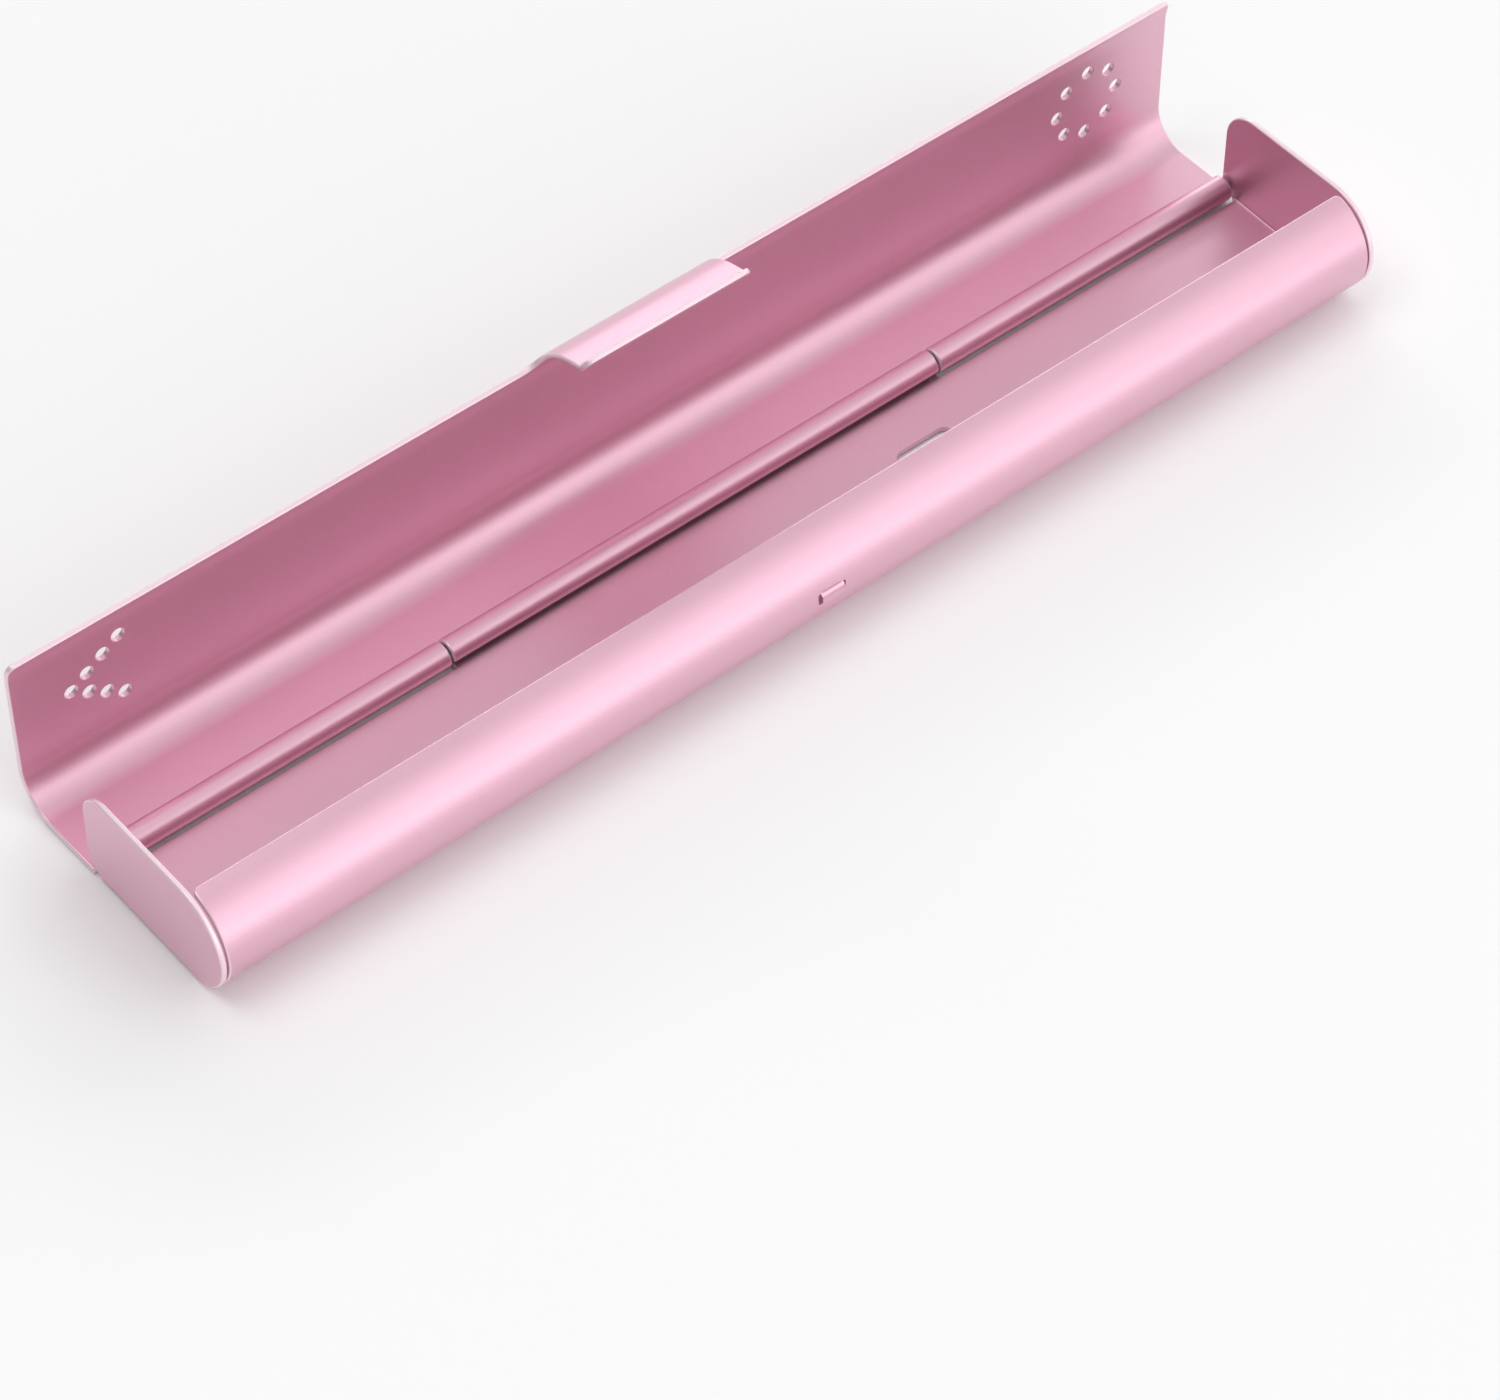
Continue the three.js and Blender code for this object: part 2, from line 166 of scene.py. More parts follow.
def formed_sheet(name, patches):
    """One closed sheet with rounded cut edges, from flat patches (outline, holes, lines, place)."""
    middle, normals, triangles, known, in_hole = [], [], [], {}, set()
    for outline, holes, lines, place in patches:
        points, cut, hole_points = cut_blank(outline, holes, lines)
        index = {}
        for t in cut:
            for i in t:
                if i in index:
                    continue
                p = place(*points[i])
                key = tuple(np.round(p, JOIN_DIGITS))
                if key not in known:
                    known[key] = len(middle)
                    middle.append(p)
                    normals.append(normal_at(place, *points[i]))
                index[i] = known[key]
            a, b, c = (index[i] for i in t)
            facing = np.cross(middle[b] - middle[a], middle[c] - middle[a]) @ normals[a]
            triangles.append((a, b, c) if facing > 0 else (a, c, b))
        in_hole |= {index[i] for i in hole_points}

    open_edges = {}
    for t in triangles:
        for a, b in zip(t, t[1:] + t[:1]):
            if open_edges.pop((b, a), None) is None:
                open_edges[(a, b)] = True
    after = {a: b for a, b in open_edges}
    before = {b: a for a, b in open_edges}
    outward = {}
    for i in after:
        sides = []
        for a, b in ((before[i], i), (i, after[i])):
            side = np.cross(middle[b] - middle[a], normals[i])
            sides.append(side / np.linalg.norm(side))
        outward[i] = (sides[0] + sides[1]) / max(1 + sides[0] @ sides[1], MITRE_LIMIT)

    vertices, directions, edge_mask = [], [], []

    def put(position, direction, on_edge):
        vertices.append(position * MM)
        directions.append(direction / np.linalg.norm(direction))
        edge_mask.append(on_edge)
        return len(vertices) - 1

    top, bottom = {}, {}
    for i, (p, n) in enumerate(zip(middle, normals)):
        rounding = HOLE_ROUND if i in in_hole else EDGE_ROUND
        drawn_in = p - outward[i] * rounding if i in outward else p
        top[i] = put(drawn_in + n * HALF, n, 0.0)
        bottom[i] = put(drawn_in - n * HALF, -n, 0.0)
    rim = {}
    for i, out in outward.items():
        p, n = middle[i], normals[i]
        rounding = HOLE_ROUND if i in in_hole else EDGE_ROUND
        # Painted highlight mask: 1 on the outer cut edges, 0 on the vent and slot walls, which keep the plain
        # dye.
        highlit_edge = 0.0 if i in in_hole else 1.0
        ring = [top[i]]
        for side, turns in ((1, EDGE_TURNS), (-1, EDGE_TURNS[::-1])):
            for turn in map(math.radians, turns):
                drawn_in = out * rounding * (math.cos(turn) - 1)
                lift = side * (HALF - rounding + rounding * math.sin(turn))
                direction = out * math.cos(turn) + n * side * math.sin(turn)
                ring.append(put(p + drawn_in + n * lift, direction, highlit_edge))
        rim[i] = ring + [bottom[i]]

    faces = [tuple(top[i] for i in t) for t in triangles]
    faces += [tuple(bottom[i] for i in reversed(t)) for t in triangles]
    for a, b in open_edges:
        for r in range(len(rim[a]) - 1):
            faces.append((rim[b][r], rim[a][r], rim[a][r + 1], rim[b][r + 1]))

    mesh = bpy.data.meshes.new(name)
    mesh.from_pydata([tuple(v) for v in vertices], [], faces)
    mesh.attributes.new("cut_edge", "FLOAT", "POINT").data.foreach_set("value", edge_mask)
    mesh.polygons.foreach_set("use_smooth", [True] * len(mesh.polygons))
    mesh.normals_split_custom_set_from_vertices([tuple(d) for d in directions])
    piece = bpy.data.objects.new(name, mesh)
    bpy.context.scene.collection.objects.link(piece)
    return piece


def floor_place(u, v):
    """Floor, front roll and middle tongue of the tray, from the flat blank to the formed sheet."""
    if v < ROLL_Y:
        turn = (ROLL_Y - v) / roll_middle
        rise = 0.0
        if abs(u) < CATCH_HALF_LENGTH + CATCH_SLIT / 2:
            rise = CATCH_RISE * smooth((CATCH_FOOT - abs(v - catch_v)) / CATCH_FLANK)
        reach = roll_middle + rise
        return np.array((u, ROLL_Y - reach * math.sin(turn), ROLL_RADIUS - reach * math.cos(turn)))
    if v > HINGE_Y:
        turn = (v - HINGE_Y) / KNUCKLE_MIDDLE
        y = HINGE_Y + KNUCKLE_MIDDLE * math.sin(turn)
        return np.array((u, y, HINGE_Z - KNUCKLE_MIDDLE * math.cos(turn)))
    return np.array((u, v, HALF))


def flap_place(u, v):
    """An end flap: folded up off the floor, and flat where it stands free beside the front roll."""
    side = math.copysign(1, u)
    q = abs(u) - ROLL_END
    flat = np.array((FLAP_INSIDE + HALF, flap_bend_middle + HALF + q - flap_bend_length))
    turn = q / flap_bend_middle
    bent = flat
    if q < 0:
        bent = np.array((ROLL_END + q, HALF))
    elif q < flap_bend_length:
        bent = np.array((ROLL_END + flap_bend_middle * math.sin(turn),
                         HALF + flap_bend_middle * (1 - math.cos(turn))))
    share = smooth((ROLL_Y - v) / FLAP_SETTLE)
    x, z = bent + (flat - bent) * share
    return np.array((side * x, v, z))


def flap_blank():
    """Outline of the right-hand flap on the flat blank, from the fold outwards."""
    rise = ROLL_END + flap_bend_length - flap_bend_middle - HALF
    corner_v, corner_w = FLAP_BACK - FLAP_CORNER, TRAY_HEIGHT - FLAP_CORNER
    corner = [(rise + w, v) for v, w in arc(corner_v, corner_w, FLAP_CORNER, 0, 90, 16)]
    lowest = 270 - math.degrees(math.acos((ROLL_RADIUS - RELIEF) / ROLL_RADIUS))
    nose = [(rise + w, v) for v, w in arc(ROLL_Y, ROLL_RADIUS, ROLL_RADIUS, 90, lowest, 48)]
    return [
        (ROLL_END, ROLL_Y),
        (ROLL_END, FLOOR_BACK),
        (ROLL_END + RELIEF, FLOOR_BACK + FLAP_CHAMFER_FOOT),
        (rise + FLAP_CHAMFER_TOP, FLAP_BACK),
        *corner,
        *nose,
        (rise + RELIEF, ROLL_Y),
    ]


def flap_lines(side):
    lines = []
    for q in (RELIEF, *FLAP_BEND_STEPS, flap_bend_length):
        u = side * (ROLL_END + q)
        lines.append(((u, -PAST_FLAP), (u, PAST_FLAP)))
    for share in FLAP_SETTLE_STEPS:
        v = ROLL_Y - FLAP_SETTLE * share
        lines.append(((side * ROLL_END, v), (side * (ROLL_END + FLAP_SETTLE_WIDTH), v)))
    return lines


def floor_blank():
    right = [
        *arc(ROLL_END - ROLL_EDGE_CORNER, roll_edge + ROLL_EDGE_CORNER, ROLL_EDGE_CORNER, -90, 0, 8),
        (ROLL_END, ROLL_Y),
        (ROLL_END, FLOOR_BACK),
        (TRAY_KNUCKLE_END, FLOOR_BACK),
        (TRAY_KNUCKLE_END, knuckle_edge),
    ]
    return right + mirrored(right)


def drain_hole(u, v, length, width):
    r = width / 2
    half = length / 2 - r
    return arc(u + half, v, r, -90, 90, 14) + arc(u - half, v, r, 90, 270, 14)


def catch_slits():
    near = [(CATCH_HALF_LENGTH, catch_v + s) for s in CATCH_SLIT_STEPS]
    far = [(CATCH_HALF_LENGTH + CATCH_SLIT, catch_v + s) for s in reversed(CATCH_SLIT_STEPS)]
    return [near + far, mirrored(near + far)]


def catch_lines():
    """A fine patch of bend lines for the catch, closed off from the roll's long ones by a frame."""
    reach, half = CATCH_PATCH
    inner_reach, inner_half = CATCH_INNER_PATCH
    lines = [across(catch_v + s, reach) for s in (-half, -inner_half, inner_half, half)]
    lines += [((u, catch_v - half), (u, catch_v + half)) for u in (-reach, reach)]
    lines += [across(catch_v + s, inner_reach) for s in CATCH_LONG_STEPS]
    lines += [((u, catch_v - inner_half), (u, catch_v + inner_half)) for u in CATCH_CROSS_STEPS]
    return lines


def floor_lines():
    reach, half = CATCH_PATCH
    lines = catch_lines()
    for v in np.linspace(roll_edge, ROLL_Y, ROLL_BENDS + 1)[1:-1]:
        if abs(v - catch_v) < half:
            lines += [((-PAST_BLANK, v), (-reach, v)), ((reach, v), (PAST_BLANK, v))]
        else:
            lines.append(across(v))
    for v in np.linspace(HINGE_Y, knuckle_edge, KNUCKLE_BENDS + 1)[:-1]:
        lines.append(across(v, TRAY_KNUCKLE_END + 1))
    return lines


right_flap = flap_blank()
tray = formed_sheet("tray_sheet", [
    (floor_blank(), [drain_hole(*DRAIN), *catch_slits()], floor_lines(), floor_place),
    (right_flap, [], flap_lines(1), flap_place),
    (mirrored(right_flap), [], flap_lines(-1), flap_place),
])

SHEET_DYE = (0.77, 0.455, 0.57)
# Painted highlight: the rounded cut edges get a paler pink and less metal, so that they read as bright lines.
CUT_EDGE_PAINTED_HIGHLIGHT = (0.9, 0.69, 0.77)
CUT_EDGE_METALLIC = 0.55
SHEET_ROUGHNESS = 0.42
OXIDE_WEIGHT = 0.6
OXIDE_IOR = 1.65
OXIDE_ROUGHNESS = 0.42
BEAD_SCALE = 5200
BEAD_RANGE = (0.3, 0.7)
BEAD_TONE = (0.97, 1.03)
BEAD_STRENGTH = 0.12
BEAD_DEPTH = 0.00003
DRIFT_SCALE = 55
DRIFT_TONE = (0.965, 1.035)
DRIFT_RUB = (-0.03, 0.03)


def blasted_grain():
    """Bead-blasted skin: fine even grain for the bump, and slow drifts in tone from the dye bath."""
    group = bpy.data.node_groups.new("blasted_grain", "ShaderNodeTree")
    for socket, way, kind in (
        ("Dye", "INPUT", "NodeSocketColor"),
        ("Edge Painted Highlight", "INPUT", "NodeSocketColor"),
        ("Edge", "INPUT", "NodeSocketFloat"),
        ("Roughness", "INPUT", "NodeSocketFloat"),
        ("Colour", "OUTPUT", "NodeSocketColor"),
        ("Roughness", "OUTPUT", "NodeSocketFloat"),
        ("Height", "OUTPUT", "NodeSocketFloat"),
    ):
        group.interface.new_socket(socket, in_out=way, socket_type=kind)
    nodes, links = group.nodes, group.links
    given = nodes.new("NodeGroupInput")
    result = nodes.new("NodeGroupOutput")
    place = nodes.new("ShaderNodeTexCoord")

    beads = nodes.new("ShaderNodeTexNoise")
    beads.inputs["Scale"].default_value = BEAD_SCALE
    beads.inputs["Detail"].default_value = 2
    drift = nodes.new("ShaderNodeTexNoise")
    drift.inputs["Scale"].default_value = DRIFT_SCALE
    drift.inputs["Detail"].default_value = 3
    for texture in (beads, drift):
        links.new(place.outputs["Object"], texture.inputs["Vector"])

    tone = nodes.new("ShaderNodeMapRange")
    tone.inputs["To Min"].default_value, tone.inputs["To Max"].default_value = DRIFT_TONE
    links.new(drift.outputs["Fac"], tone.inputs["Value"])
    speck = nodes.new("ShaderNodeMapRange")
    speck.inputs["From Min"].default_value, speck.inputs["From Max"].default_value = BEAD_RANGE
    speck.inputs["To Min"].default_value, speck.inputs["To Max"].default_value = BEAD_TONE
    links.new(beads.outputs["Fac"], speck.inputs["Value"])
    shade = nodes.new("ShaderNodeMath")
    shade.operation = "MULTIPLY"
    links.new(tone.outputs["Result"], shade.inputs[0])
    links.new(speck.outputs["Result"], shade.inputs[1])
    # The dye is mixed towards the painted edge highlight along the cut edges.
    dyed_and_highlit = nodes.new("ShaderNodeMix")
    dyed_and_highlit.data_type = "RGBA"
    links.new(given.outputs["Edge"], dyed_and_highlit.inputs["Factor"])
    links.new(given.outputs["Dye"], dyed_and_highlit.inputs["A"])
    links.new(given.outputs["Edge Painted Highlight"], dyed_and_highlit.inputs["B"])
    shaded = nodes.new("ShaderNodeVectorMath")
    shaded.operation = "SCALE"
    links.new(dyed_and_highlit.outputs["Result"], shaded.inputs[0])
    links.new(shade.outputs["Value"], shaded.inputs["Scale"])
    links.new(shaded.outputs["Vector"], result.inputs["Colour"])

    rub = nodes.new("ShaderNodeMapRange")
    rub.inputs["To Min"].default_value, rub.inputs["To Max"].default_value = DRIFT_RUB
    links.new(drift.outputs["Fac"], rub.inputs["Value"])
    rough = nodes.new("ShaderNodeMath")
    rough.operation = "ADD"
    links.new(given.outputs["Roughness"], rough.inputs[0])
    links.new(rub.outputs["Result"], rough.inputs[1])
    links.new(rough.outputs["Value"], result.inputs["Roughness"])
    links.new(beads.outputs["Fac"], result.inputs["Height"])
    return group


grain = blasted_grain()


def anodised(name):
    """Dyed metal under a clear oxide layer, with a painted highlight on the cut edges: a paler colour and
    less metal there.
    """
    material = bpy.data.materials.new(name)
    material.use_nodes = True
    nodes, links = material.node_tree.nodes, material.node_tree.links
    skin = nodes["Principled BSDF"]
    skin.inputs["Coat Weight"].default_value = OXIDE_WEIGHT
    skin.inputs["Coat IOR"].default_value = OXIDE_IOR
    skin.inputs["Coat Roughness"].default_value = OXIDE_ROUGHNESS
    edge = nodes.new("ShaderNodeAttribute")
    edge.attribute_name = "cut_edge"
    highlit_edge = nodes.new("ShaderNodeMapRange")
    highlit_edge.inputs["To Min"].default_value = 1.0
    highlit_edge.inputs["To Max"].default_value = CUT_EDGE_METALLIC
    links.new(edge.outputs["Fac"], highlit_edge.inputs["Value"])
    links.new(highlit_edge.outputs["Result"], skin.inputs["Metallic"])
    blasted = nodes.new("ShaderNodeGroup")
    blasted.node_tree = grain
    blasted.inputs["Dye"].default_value = (*SHEET_DYE, 1)
    blasted.inputs["Edge Painted Highlight"].default_value = (*CUT_EDGE_PAINTED_HIGHLIGHT, 1)
    blasted.inputs["Roughness"].default_value = SHEET_ROUGHNESS
    links.new(edge.outputs["Fac"], blasted.inputs["Edge"])
    links.new(blasted.outputs["Colour"], skin.inputs["Base Color"])
    links.new(blasted.outputs["Roughness"], skin.inputs["Roughness"])
    bump = nodes.new("ShaderNodeBump")
    bump.inputs["Strength"].default_value = BEAD_STRENGTH
    bump.inputs["Distance"].default_value = BEAD_DEPTH
    links.new(blasted.outputs["Height"], bump.inputs["Height"])
    links.new(bump.outputs["Normal"], skin.inputs["Normal"])
    return material


tray.data.materials.append(anodised("tray_anodised"))
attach(tray, "tray")
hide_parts("base_tray")


# Hinge pin: a straight length of drawn steel wire, slid through the rolled knuckles of both sheets.
# Its ends are broken with a file, and the end flaps stop it from working out.
PIN_RADIUS = 0.9
PIN_END_GAP = 0.4
PIN_END = FLAP_INSIDE - PIN_END_GAP
PIN_END_BREAK = 0.3
PIN_SIDES = 32
PIN_DARK = (0.36, 0.35, 0.35, 1)
PIN_LIGHT = (0.6, 0.59, 0.58, 1)
PIN_ROUGHNESS = (0.22, 0.4)
DIE_MARK_SCALE = (40, 4000, 4000)

pin_left_end = [
    (-PIN_END, PIN_RADIUS - PIN_END_BREAK),
    (-PIN_END + PIN_END_BREAK / 3, PIN_RADIUS - PIN_END_BREAK / 3),
    (-PIN_END + PIN_END_BREAK, PIN_RADIUS),
]
pin_rings = pin_left_end + mirrored(pin_left_end)
pin_points = [(u * MM, (HINGE_Y + r * math.cos(t)) * MM, (HINGE_Z + r * math.sin(t)) * MM)
              for u, r in pin_rings for t in np.linspace(0, 2 * math.pi, PIN_SIDES, endpoint=False)]
pin_faces = []
for ring in range(len(pin_rings) - 1):
    for i in range(PIN_SIDES):
        a, b = ring * PIN_SIDES + i, ring * PIN_SIDES + (i + 1) % PIN_SIDES
        pin_faces.append((a, a + PIN_SIDES, b + PIN_SIDES, b))
pin_faces.append(tuple(range(PIN_SIDES)))
pin_faces.append(tuple(reversed(range(len(pin_points) - PIN_SIDES, len(pin_points)))))
pin_mesh = bpy.data.meshes.new("pin_wire")
pin_mesh.from_pydata(pin_points, [], pin_faces)
pin_mesh.polygons.foreach_set("use_smooth", [len(f) == 4 for f in pin_faces])
pin = bpy.data.objects.new("pin_wire", pin_mesh)
bpy.context.scene.collection.objects.link(pin)

pin_steel = bpy.data.materials.new("drawn_steel")
pin_steel.use_nodes = True
pin_nodes, pin_links = pin_steel.node_tree.nodes, pin_steel.node_tree.links
pin_skin = pin_nodes["Principled BSDF"]
pin_skin.inputs["Metallic"].default_value = 1.0
pin_place = pin_nodes.new("ShaderNodeTexCoord")
pin_stretch = pin_nodes.new("ShaderNodeMapping")
pin_stretch.inputs["Scale"].default_value = DIE_MARK_SCALE
die_marks = pin_nodes.new("ShaderNodeTexNoise")
die_marks.inputs["Scale"].default_value = 1.0
die_marks.inputs["Detail"].default_value = 3
pin_tone = pin_nodes.new("ShaderNodeValToRGB")
pin_tone.color_ramp.elements[0].color = PIN_DARK
pin_tone.color_ramp.elements[1].color = PIN_LIGHT
pin_rub = pin_nodes.new("ShaderNodeMapRange")
pin_rub.inputs["To Min"].default_value, pin_rub.inputs["To Max"].default_value = PIN_ROUGHNESS
pin_links.new(pin_place.outputs["Object"], pin_stretch.inputs["Vector"])
pin_links.new(pin_stretch.outputs["Vector"], die_marks.inputs["Vector"])
pin_links.new(die_marks.outputs["Fac"], pin_tone.inputs["Fac"])
pin_links.new(die_marks.outputs["Fac"], pin_rub.inputs["Value"])
pin_links.new(pin_tone.outputs["Color"], pin_skin.inputs["Base Color"])
pin_links.new(pin_rub.outputs["Result"], pin_skin.inputs["Roughness"])
pin_mesh.materials.append(pin_steel)
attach(pin, "tray")
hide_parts("hinge_pin")


# Lid: a second blank of the same sheet, drilled with vents, bent to a back wall, a flat top and a front edge.
# Two tongues are rolled round the pin beside the tray's, and a tab at the front snaps over the catch.
# It is blasted and anodised with the tray, and lies open on its back wall.
LID_OVERHANG = 0.1
LID_END = HALF_LENGTH + LID_OVERHANG
LID_BACK = 17.1
LID_INSIDE = 18.35
LID_BEND_MIDDLE = 5.85 + HALF
LID_CORNER = 1.5
WALL_FOOT = 4.29
KNUCKLE_GAP = 0.4
LID_KNUCKLE = (TRAY_KNUCKLE_END + KNUCKLE_GAP, FLAP_INSIDE - KNUCKLE_GAP)
WRAP_MIDDLE = 9.35 + HALF
FRONT_WRAP = 24.0
TAB_HALF_WIDTH = 15.0
TAB_FILLET = 3.2
SWING_MIDDLE = 32.56 + HALF
CREASE_Z = 8.8
LIP_MIDDLE = 0.8 + HALF
LIP_FLARE = 46.0
LIP_LENGTH = 1.9
LIP_CORNER = 1.6
VENT_RADIUS = 1.15
VENT_POINTS = 32
VENT_LINE = 0.6
CHEVRON_TIP = 9.5
CHEVRON_PITCH = 3.38
CHEVRON_HALF_ANGLE = math.radians(34.7)
CHEVRON_ARM = 3
RING_CENTRE = 15.8
RING_RADIUS = 5.9
RING_VENTS = 8

hinge_to_wrap = SWING_MIDDLE - WRAP_MIDDLE
swing_turn = math.degrees(math.asin((ROLL_RADIUS - HINGE_Z) / hinge_to_wrap))
wrap_y = HINGE_Y - hinge_to_wrap * math.cos(math.radians(swing_turn))
crease_turn = math.degrees(math.asin((CREASE_Z - HINGE_Z) / (SWING_MIDDLE - HALF)))
top_start_y = LID_BACK - HALF - LID_BEND_MIDDLE
lid_steps = [
    (KNUCKLE_MIDDLE * KNUCKLE_SWEEP, KNUCKLE_MIDDLE),
    (LID_INSIDE + HALF - LID_BEND_MIDDLE - HINGE_Z, None),
    (LID_BEND_MIDDLE * math.pi / 2, LID_BEND_MIDDLE),
    (top_start_y - wrap_y, None),
    (WRAP_MIDDLE * math.radians(90 - swing_turn), WRAP_MIDDLE),
    (SWING_MIDDLE * math.radians(swing_turn - crease_turn), SWING_MIDDLE),
    (LIP_MIDDLE * math.radians(LIP_FLARE), -LIP_MIDDLE),
    (LIP_LENGTH, None),
]
lid_marks = np.cumsum([length for length, _ in lid_steps])
wall_start, bend_start, top_start, wrap_start, swing_start, lip_start, lip_run, lid_tip = lid_marks
wall_foot = wall_start + WALL_FOOT - HINGE_Z
front_edge = wrap_start + WRAP_MIDDLE * math.radians(FRONT_WRAP)


def lid_place(u, v):
    """The lid's sheet, formed in its shut place and then turned open about the pin."""
    heading = math.radians(90) - KNUCKLE_SWEEP
    y = HINGE_Y + KNUCKLE_MIDDLE * math.sin(heading)
    z = HINGE_Z - KNUCKLE_MIDDLE * math.cos(heading)
    left = v
    for number, (length, radius) in enumerate(lid_steps):
        part = left if number == len(lid_steps) - 1 else min(left, length)
        if radius is None:
            y += part * math.cos(heading)
            z += part * math.sin(heading)
        else:
            turned = heading + part / radius
            y += radius * (math.sin(turned) - math.sin(heading))
            z -= radius * (math.cos(turned) - math.cos(heading))
            heading = turned
        left -= part
        if left <= 0:
            break
    return np.array((u, HINGE_Y + z - HINGE_Z, HINGE_Z - y + HINGE_Y))


def lid_blank():
    inner, outer = LID_KNUCKLE
    right = [
        (inner, wall_foot),
        (inner, 0.0),
        (outer, 0.0),
        (outer, wall_start),
        (LID_END, wall_start),
        *arc(LID_END - LID_CORNER, front_edge - LID_CORNER, LID_CORNER, 0, 90, 8),
        *arc(TAB_HALF_WIDTH + TAB_FILLET, front_edge + TAB_FILLET, TAB_FILLET, 270, 180, 12),
        *arc(TAB_HALF_WIDTH - LIP_CORNER, lid_tip - LIP_CORNER, LIP_CORNER, 0, 90, 8),
    ]
    return right + mirrored(right)


def vents():
    """A chevron of vents at the left end of the top and a ring of them at the right."""
    top_v = top_start + top_start_y - VENT_LINE
    centres = []
    for i in range(-CHEVRON_ARM, CHEVRON_ARM + 1):
        u = -LID_END + CHEVRON_TIP + CHEVRON_PITCH * math.cos(CHEVRON_HALF_ANGLE) * abs(i)
        centres.append((u, top_v - CHEVRON_PITCH * math.sin(CHEVRON_HALF_ANGLE) * i))
    ring_end = 360 - 360 / RING_VENTS
    centres += arc(LID_END - RING_CENTRE, top_v, RING_RADIUS, 0, ring_end, RING_VENTS - 1)
    vent_end = 360 - 360 / VENT_POINTS
    return [arc(u, v, VENT_RADIUS, 0, vent_end, VENT_POINTS - 1) for u, v in centres]


lid_lines = []
for start, end, bends, skipped in (
    (0, wall_start, 40, 1),
    (bend_start, top_start, 30, 0),
    (wrap_start, front_edge, 8, 0),
    (front_edge, swing_start, 16, 1),
    (swing_start, lip_start, 3, 1),
    (lip_start, lip_run, 5, 1),
):
    lid_lines += [across(v) for v in np.linspace(start, end, bends + 1)[skipped:]]
lid = formed_sheet("lid_sheet", [(lid_blank(), vents(), lid_lines, lid_place)])
lid.data.materials.append(anodised("lid_anodised"))
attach(lid, "cover")
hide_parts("lid")


# Table: a plain pale board that the case lies on, painted matt and wide enough to fill the view.
# It lies a hair under the case, so that the tray's flat underside doesn't meet it face to face.
TABLE_HALF = 6.0
TABLE_DROP = 0.0002
TABLE_PAINT = (0.96, 0.96, 0.96, 1)

table_corners = [(x * TABLE_HALF, y * TABLE_HALF, 0) for x, y in ((-1, -1), (1, -1), (1, 1), (-1, 1))]
table_mesh = bpy.data.meshes.new("table")
table_mesh.from_pydata(table_corners, [], [(0, 1, 2, 3)])
table = bpy.data.objects.new("table", table_mesh)
bpy.context.scene.collection.objects.link(table)
table.location.z = -TABLE_DROP
table_paint = bpy.data.materials.new("table_paint")
table_paint.use_nodes = True
table_skin = table_paint.node_tree.nodes["Principled BSDF"]
table_skin.inputs["Base Color"].default_value = TABLE_PAINT
table_skin.inputs["Roughness"].default_value = 0.8
table_skin.inputs["Specular IOR Level"].default_value = 0.1
table_mesh.materials.append(table_paint)


# Studio: a pale surround, brighter on the right, and soft lamps above, at the right, behind and in front.
# The front lamps lie where the half-round front mirrors them, and draw the pale band along it.
SURROUND_MIDDLE = 0.54
SURROUND_SWING = 0.5
BRIGHT_SIDE = (0.75, -0.1, 0.2)

world = bpy.data.worlds.new("studio")
bpy.context.scene.world = world
world.use_nodes = True
world_nodes, world_links = world.node_tree.nodes, world.node_tree.links
way = world_nodes.new("ShaderNodeTexCoord")
towards = world_nodes.new("ShaderNodeVectorMath")
towards.operation = "DOT_PRODUCT"
towards.inputs[1].default_value = BRIGHT_SIDE
level = world_nodes.new("ShaderNodeMath")
level.operation = "MULTIPLY_ADD"
level.inputs[1].default_value = SURROUND_SWING
level.inputs[2].default_value = SURROUND_MIDDLE
world_links.new(way.outputs["Generated"], towards.inputs[0])
world_links.new(towards.outputs["Value"], level.inputs[0])
world_nodes["Background"].inputs["Color"].default_value = (1, 1, 1, 1)
world_links.new(level.outputs["Value"], world_nodes["Background"].inputs["Strength"])


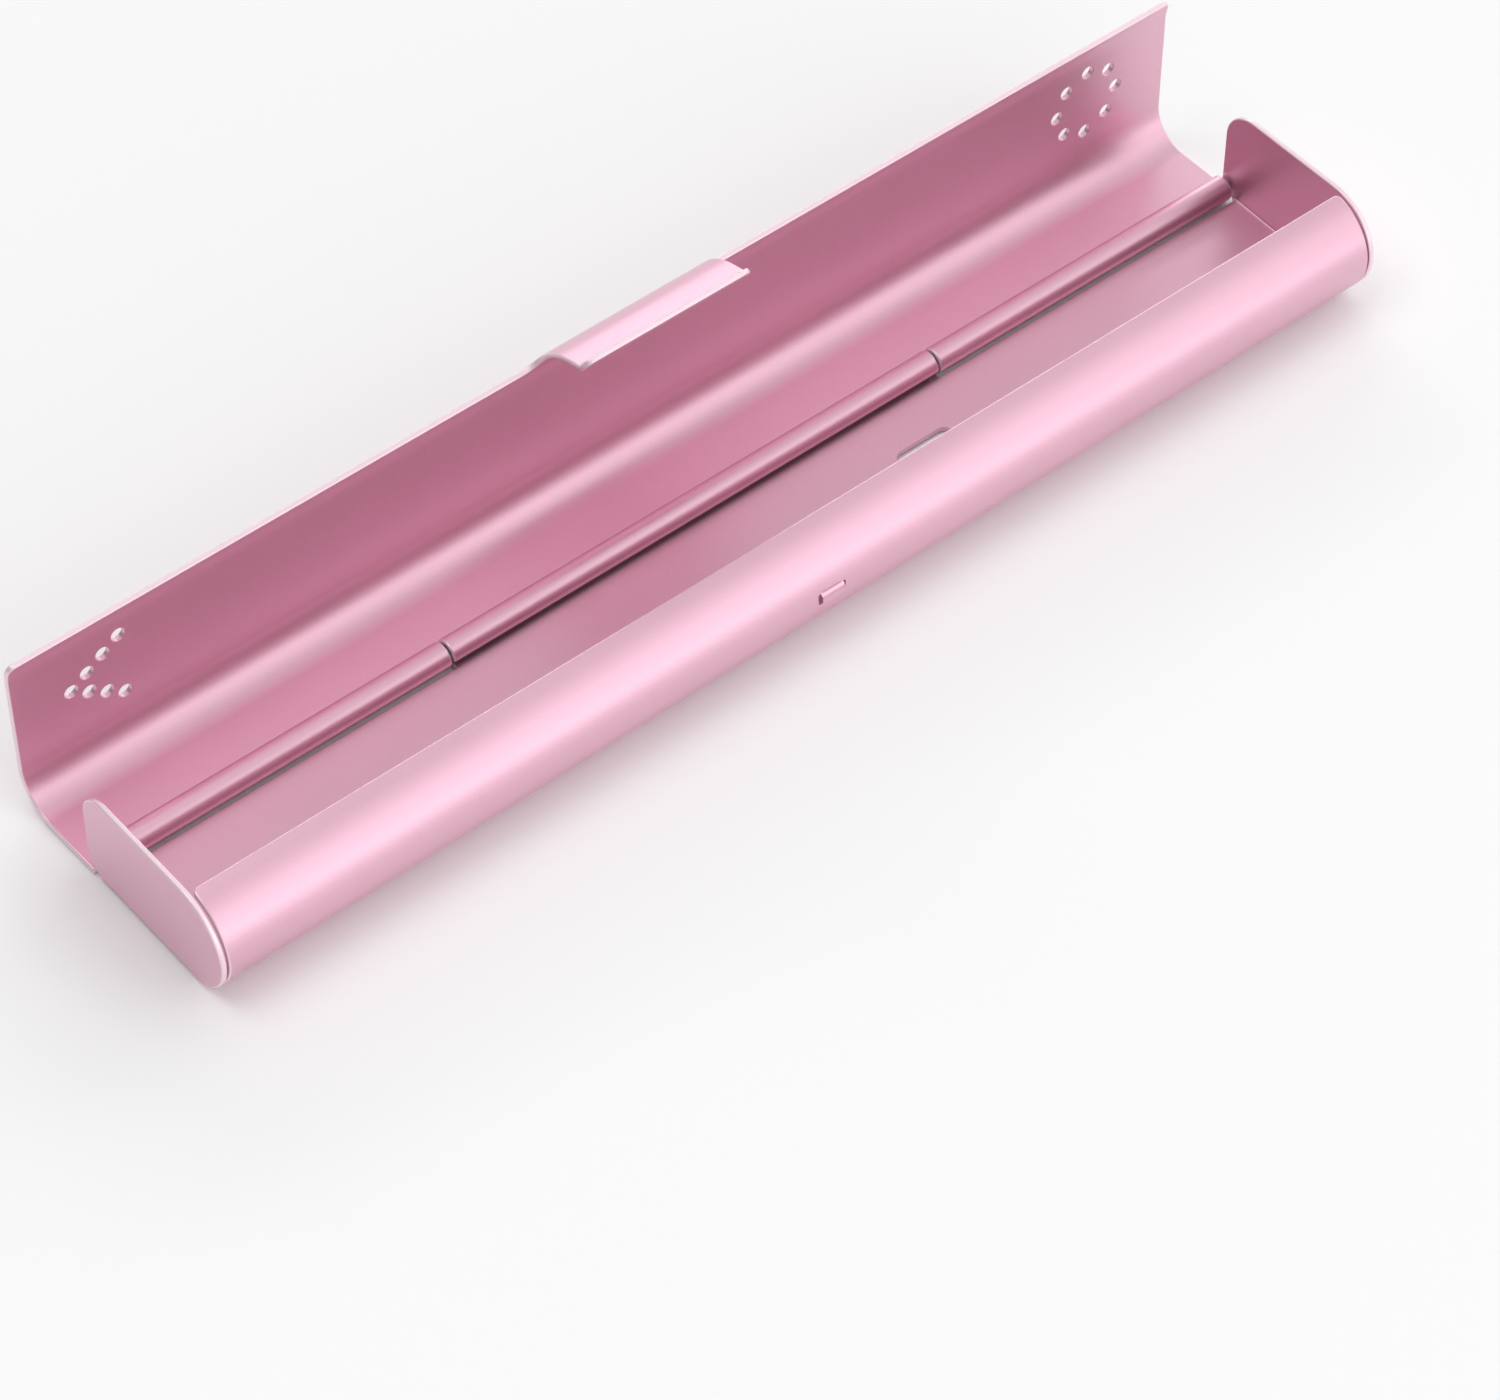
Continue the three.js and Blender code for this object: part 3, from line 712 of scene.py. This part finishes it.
def soft_lamp(name, place, aim, width, depth, power):
    lamp = bpy.data.lights.new(name, "AREA")
    lamp.shape = "RECTANGLE"
    lamp.size = width
    lamp.size_y = depth
    lamp.energy = power
    stand = bpy.data.objects.new(name, lamp)
    bpy.context.scene.collection.objects.link(stand)
    stand.location = place
    stand.rotation_euler = (Vector(aim) - Vector(place)).to_track_quat("-Z", "Y").to_euler()


soft_lamp("overhead", (-0.42, 0.24, 1.36), (0, 0, 0), 0.9, 0.9, 5.0)
soft_lamp("right", (1.5, 0.2, 0.75), (0, 0, 0), 0.9, 0.9, 1.8)
soft_lamp("back", (0.75, 1.35, 0.7), (0, 0, 0), 1.4, 0.25, 4.2)
soft_lamp("front", (0.15, -1.12, 0.36), (0, 0, 0.01), 1.4, 1.2, 4.2)
soft_lamp("front_high", (0.62, -0.74, 1.1), (0, 0, 0), 0.8, 0.8, 1.1)
soft_lamp("front_low", (0.15, -1.0, 0.08), (0, 0, 0.01), 1.4, 0.3, 1.0)


# Camera: a long lens from the front left, looking down on the open case.
# Its place and lens were worked out from the case's straight edges and vents.
CAMERA_AZIMUTH = math.radians(-39.523)
CAMERA_ELEVATION = math.radians(49.022)
CAMERA_TARGET = Vector((-16.421, -17.593, 0)) * MM
CAMERA_DISTANCE = 737.945 * MM
SENSOR_WIDTH = 36
LENS = 126.388

camera_data = bpy.data.cameras.new("camera")
camera_data.sensor_width = SENSOR_WIDTH
camera_data.lens = LENS
camera = bpy.data.objects.new("camera", camera_data)
bpy.context.scene.collection.objects.link(camera)
back = Vector((
    math.sin(CAMERA_AZIMUTH) * math.cos(CAMERA_ELEVATION),
    -math.cos(CAMERA_AZIMUTH) * math.cos(CAMERA_ELEVATION),
    math.sin(CAMERA_ELEVATION),
))
camera.location = CAMERA_TARGET + back * CAMERA_DISTANCE
camera.rotation_euler = (-back).to_track_quat("-Z", "Y").to_euler()
bpy.context.scene.camera = camera
bpy.context.scene.view_settings.view_transform = "Standard"

bpy.context.view_layer.update()
